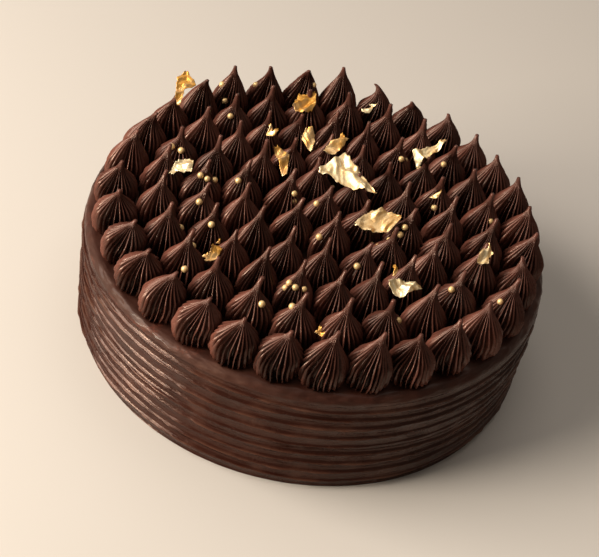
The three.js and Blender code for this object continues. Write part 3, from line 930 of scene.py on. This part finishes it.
class CAKE_OT_drop_pearls(bpy.types.Operator):
    """Drop the gold sugar pearls on the kisses"""

    bl_idname = "cake.drop_pearls"
    bl_label = "Drop the Pearls"

    def execute(self, context):
        look = context.scene.cake_gold
        radius = look.pearl_radius / MM
        rows, around = 11, 18
        tilt = np.linspace(0, math.pi, rows + 2)[1:-1]
        t, a = np.meshgrid(tilt, np.linspace(0, TURN, around, endpoint=False), indexing="ij")
        ball = np.stack([np.sin(t) * np.cos(a), np.sin(t) * np.sin(a), -np.cos(t)], -1)
        ball = np.concatenate([ball.reshape(-1, 3), [[0, 0, -1], [0, 0, 1]]])
        index = np.arange(rows * around).reshape(rows, around)
        quads = grid_faces(rows, around, True)
        caps = np.concatenate([
            cap_faces(index[0], rows * around, False),
            cap_faces(index[-1], rows * around + 1, True),
        ])
        places = pearl_plan(kiss_plan(), context.scene.cake_kisses)
        points, all_quads, all_caps = [], [], []
        for i, place in enumerate(places):
            size = radius * (0.87 + 0.13 * draw(i, 3, 21))
            points.append(place + ball * size)
            all_quads.append(quads + i * len(ball))
            all_caps.append(caps + i * len(ball))
        mesh_piece(
            "sugar_pearls", np.concatenate(points), np.concatenate(all_quads),
            np.concatenate(all_caps), pearl_finish(look), [],
        )
        return {"FINISHED"}


def pleats(distance, width, steepness):
    """Zigzag of straight folds across a distance: each flank has the same steepness."""
    return steepness * width * np.abs(np.mod(distance / width, 2) - 1)


def foil_surface(length, rise, slope, middle, half, seed, foil, size=(55, 27)):
    """A torn scrap of foil as a closed thin surface about its own middle.

    along = length/2 x u, across = middle(u) + v x half(u), read between the stations of the
    solid, with ragged edges from noise; height = tan(rise) x along + tan(slope) x across + curl +
    ripple, as in the solid, plus two sets of folds in drawn directions and fine wrinkles."""
    u, v = np.meshgrid(*(np.linspace(-1, 1, count) for count in size), indexing="ij")
    stations = np.linspace(-1, 1, len(half))
    torn = 1 + 0.1 * noise(u * 6, np.sign(v) * 3, seed) + 0.07 * noise(u * 17, np.sign(v), seed + 1)
    ragged = 0.05 * noise(v * 3 + 5, u * 0, seed + 2) * np.abs(u) ** 3
    along = length / 2 * (u + ragged)
    across = np.interp(u, stations, middle) + v * np.interp(u, stations, half) * torn
    curl = 0.05 * length * u * u
    ripple = 0.3 * np.sin(4 * u + 2.5 * v)
    fold, facet = 0, 0
    for i, (width, steep) in enumerate(((3.1, 0.6), (1.3, 0.45))):
        turn = TURN * draw(seed, i, 31)
        distance = along * math.cos(turn) + across * math.sin(turn) + 9 * draw(seed, i, 32)
        distance = distance + 1.8 * noise(along / 5, across / 5, seed + 8 + i)
        width = width * (0.8 + 0.5 * draw(seed, i, 33))
        where = np.clip(0.55 + 1.1 * noise(along / 4 + 7, across / 4, seed + 12 + i), 0.1, 1)
        fold = fold + where * pleats(distance, width, steep)
        # Which way each fold's flank faces, for the painted light and shade below.
        facet = facet + where * steep * np.sin(distance / width * math.pi)
    wrinkle = 0.16 * np.abs(noise(along * 1.1, across * 1.1, seed + 4))
    height = math.tan(rise) * along + math.tan(slope) * across + curl + ripple
    height = height + fold - fold.mean() + wrinkle
    rows, columns = size
    upper = np.stack([along, across, height + foil], -1).reshape(-1, 3)
    lower = np.stack([along, across, height], -1).reshape(-1, 3)
    count = rows * columns
    # Rows run along x and columns along y, so the faces of the grid look down.
    over = grid_faces(rows, columns, False, count)[:, ::-1]
    under = grid_faces(rows, columns, False)
    index = np.arange(count).reshape(rows, columns)
    rim = np.concatenate([
        index[:-1, 0], index[-1, :-1], index[:0:-1, -1], index[0, :0:-1]
    ])
    ahead = np.roll(rim, -1)
    walls = np.stack([rim, ahead, ahead + count, rim + count], -1)
    quads = np.concatenate([over, under, walls])
    # Painted light and shade: one flank of each fold lighter and the other darker, and the scrap
    # lighter at its first end and darker at its last.
    shaded_tone = np.tile((0.35 * facet - 0.22 * u).ravel(), 2)
    return np.concatenate([lower, upper]), quads, shaded_tone


def turned(points, heading):
    """Points turned about the upright axis."""
    cos, sin = math.cos(heading), math.sin(heading)
    x, y, z = points.T
    return np.stack([x * cos - y * sin, x * sin + y * cos, z], -1)


class CAKE_OT_lay_gold_leaf(bpy.types.Operator):
    """Lay the scraps and crumbs of gold leaf on the tips of the kisses"""

    bl_idname = "cake.lay_gold_leaf"
    bl_label = "Lay the Gold Leaf"

    def execute(self, context):
        look = context.scene.cake_gold
        material = leaf_finish(look)
        foil = look.foil / MM
        for seed, (name, x, y, length, *angles, middle, half, pale) in enumerate(LEAVES):
            heading, rise, slope = (math.radians(angle) for angle in angles)
            points, quads, shaded_tone = foil_surface(
                length, rise, slope, middle, half, 60 + 17 * seed, foil
            )
            points = turned(points, heading) + np.array([x, y, 0])
            low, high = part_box(need(name))
            points[:, 2] += low.z / MM - points[:, 2].min() + 0.1
            # How pale the scrap is, plus the painted light and shade on its folds.
            mesh_piece(
                name.replace("gold_leaf", "foil_scrap"), points, quads, np.zeros((0, 3), int),
                material, [name], {"bright": np.clip(pale + shaded_tone, 0, 1)},
            )
        parts, start = [], 0
        for seed, (x, y, z, length, heading, pale) in enumerate(CRUMBS):
            width = length * (0.16 + 0.1 * draw(seed, 2, 41))
            half = width * np.array([0.5, 1, 0.9, 1.1, 0.4])
            middle = width * np.array([0.9, 0.2, -0.3, 0.1, 0.7])
            points, quads, shaded_tone = foil_surface(
                length, CRUMB_RISE, CRUMB_SLOPE, middle, half, 400 + 13 * seed, foil, (15, 7)
            )
            points = turned(points, math.radians(heading)) + np.array([x, y, z])
            # How pale the crumb is, plus the painted light and shade on its folds.
            parts.append((points, quads + start, np.clip(pale + shaded_tone, 0, 1)))
            start += len(points)
        points, quads, bright = (np.concatenate(part) for part in zip(*parts))
        mesh_piece(
            "foil_crumbs", points, quads, np.zeros((0, 3), int), material, [],
            {"bright": bright},
        )
        return {"FINISHED"}


def aim(item, right, up, back, place):
    """Turns a light or camera so that its own axes lie along three directions, and places it."""
    turn = np.eye(4)
    turn[:3, 0], turn[:3, 1], turn[:3, 2], turn[:3, 3] = right, up, back, place
    item.matrix_world = Matrix(turn.tolist())


def soft_light(scene, name, azimuth, elevation, distance, size, power, colour):
    """A rectangular light that faces the cake from an azimuth and an elevation in degrees."""
    light = bpy.data.lights.new(name, "AREA")
    light.shape = "RECTANGLE"
    light.size, light.size_y = size
    light.energy = power
    light.color = colour
    lamp = bpy.data.objects.new(name, light)
    az, el = math.radians(azimuth), math.radians(elevation)
    back = np.array([math.cos(el) * math.cos(az), math.cos(el) * math.sin(az), math.sin(el)])
    right = np.array([-math.sin(az), math.cos(az), 0])
    aim(lamp, right, np.cross(back, right), back, back * distance + np.array(LIGHT_TARGET))
    scene.collection.objects.link(lamp)


class CAKE_OT_set_stage(bpy.types.Operator):
    """Set the floor, the soft lights and the camera"""

    bl_idname = "cake.set_stage"
    bl_label = "Set the Stage"

    def execute(self, context):
        look = context.scene.cake_stage
        scene = context.scene
        around = 96
        angle = np.linspace(0, TURN, around, endpoint=False)
        reach = np.array([0.02, 0.5, 1.2, 2.5, 4.0])
        r, a = np.meshgrid(reach, angle, indexing="ij")
        points = np.stack([r * np.cos(a), r * np.sin(a), np.zeros_like(r)], -1).reshape(-1, 3)
        mesh = bpy.data.meshes.new("floor")
        quads = grid_faces(len(reach), around, True)[:, ::-1]
        mesh.from_pydata(
            points.tolist(), [], [*quads.tolist(), list(range(around))]
        )
        mesh.materials.append(floor_finish(look))
        floor = bpy.data.objects.new("floor", mesh)
        scene.collection.objects.link(floor)

        soft_light(scene, "window", 190, 38, 1.3, (0.9, 0.7), look.key, (1.0, 0.9, 0.8))
        soft_light(scene, "low window", 209, 19, 1.1, (0.45, 0.12), look.low, (1.0, 0.88, 0.72))
        soft_light(scene, "skylight", 80, 72, 1.5, (1.2, 1.2), look.fill, (1.0, 0.92, 0.84))
        scene.view_settings.view_transform = "Standard"
        world = bpy.data.worlds.new("soft room")
        world.use_nodes = True
        background = world.node_tree.nodes["Background"]
        background.inputs["Color"].default_value = (1.0, 0.88, 0.76, 1)
        background.inputs["Strength"].default_value = look.sky
        scene.world = world

        tilt, roll = CAMERA_TILT, CAMERA_ROLL
        back = np.array([0, -math.cos(tilt), math.sin(tilt)])
        level = np.array([1.0, 0, 0])
        upright = np.array([0, math.sin(tilt), math.cos(tilt)])
        place = (np.array(CAMERA_TARGET) + back * CAMERA_DISTANCE) * BODY_RADIUS * MM
        camera = bpy.data.cameras.new("camera")
        camera.sensor_width = 36
        camera.lens = look.lens
        camera.clip_start, camera.clip_end = 0.01, 50
        eye = bpy.data.objects.new("camera", camera)
        aim(
            eye, math.cos(roll) * level + math.sin(roll) * upright,
            -math.sin(roll) * level + math.cos(roll) * upright, back, place,
        )
        scene.collection.objects.link(eye)
        scene.camera = eye
        return {"FINISHED"}


class CAKE_PT_recipe(bpy.types.Panel):
    """The steps and sizes of the cake"""

    bl_idname = "CAKE_PT_recipe"
    bl_label = "Truffle Cake"
    bl_space_type = "VIEW_3D"
    bl_region_type = "UI"
    bl_category = "Cake"

    def draw(self, context):
        for operator in OPERATORS:
            self.layout.operator(operator.bl_idname)
        for name in SETTINGS:
            box = self.layout.box()
            settings = getattr(context.scene, name)
            for prop in settings.bl_rna.properties:
                if prop.identifier not in {"rna_type", "name"}:
                    box.prop(settings, prop.identifier)


OPERATORS = (
    CAKE_OT_comb_coat,
    CAKE_OT_pipe_kisses,
    CAKE_OT_drop_pearls,
    CAKE_OT_lay_gold_leaf,
    CAKE_OT_set_stage,
)
SETTINGS = {
    "cake_coat": CoatSettings,
    "cake_kisses": KissSettings,
    "cake_gold": GoldSettings,
    "cake_stage": StageSettings,
}
CLASSES = (*SETTINGS.values(), *OPERATORS, CAKE_PT_recipe)


def register():
    """Registers the classes and hangs the settings on the scene."""
    for cls in CLASSES:
        bpy.utils.register_class(cls)
    for name, group in SETTINGS.items():
        setattr(bpy.types.Scene, name, PointerProperty(type=group))


def unregister():
    """Takes the settings and the classes away again."""
    for name in SETTINGS:
        delattr(bpy.types.Scene, name)
    for cls in reversed(CLASSES):
        bpy.utils.unregister_class(cls)


def main():
    """Registers the add-on and makes the cake step by step."""
    register()
    bpy.ops.cake.comb_coat()
    bpy.ops.cake.pipe_kisses()
    bpy.ops.cake.drop_pearls()
    bpy.ops.cake.lay_gold_leaf()
    bpy.ops.cake.set_stage()


if __name__ == "__main__":
    main()
